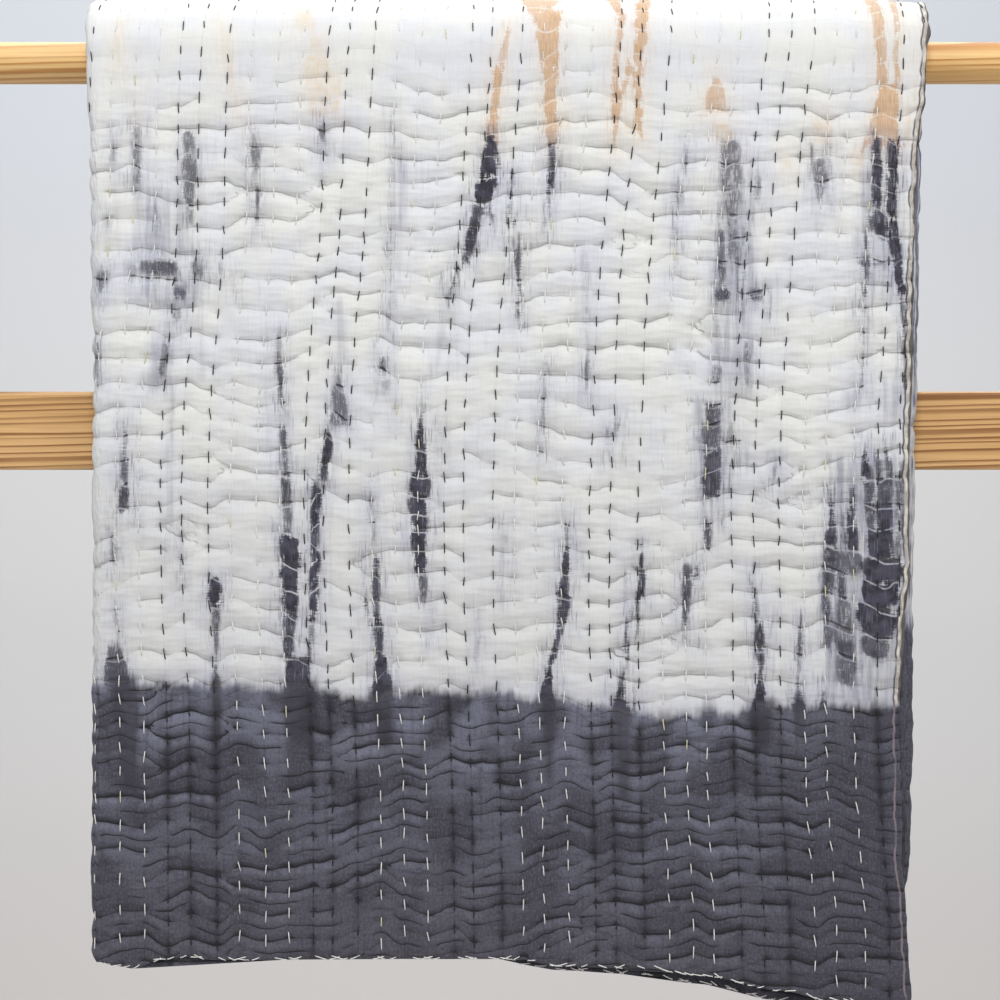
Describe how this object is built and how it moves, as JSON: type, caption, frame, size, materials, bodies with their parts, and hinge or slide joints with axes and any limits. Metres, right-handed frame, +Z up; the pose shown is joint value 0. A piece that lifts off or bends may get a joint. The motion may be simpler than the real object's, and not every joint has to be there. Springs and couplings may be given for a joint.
{
  "type": "kantha quilt on a wooden rod and rail",
  "caption": "Hand-stitched cotton quilt folded lengthwise and draped over a round wooden rod, with a flat wooden rail between its hanging flaps.",
  "frame": {"origin": "middle of the rod's left end face", "axes": "+X along the rod to its right end, -Y towards the quilt's front, +Z up"},
  "size_m": [0.76, 0.1032, 0.7343],
  "materials": {
    "cotton": "matte quilted cotton, white with grey dyed marks",
    "pine": "planed pine, clear satin finish"
  },
  "bodies": {
    "root": {"quilt": "cotton", "rod": "pine", "rail": "pine"}
  },
  "joints": []
}
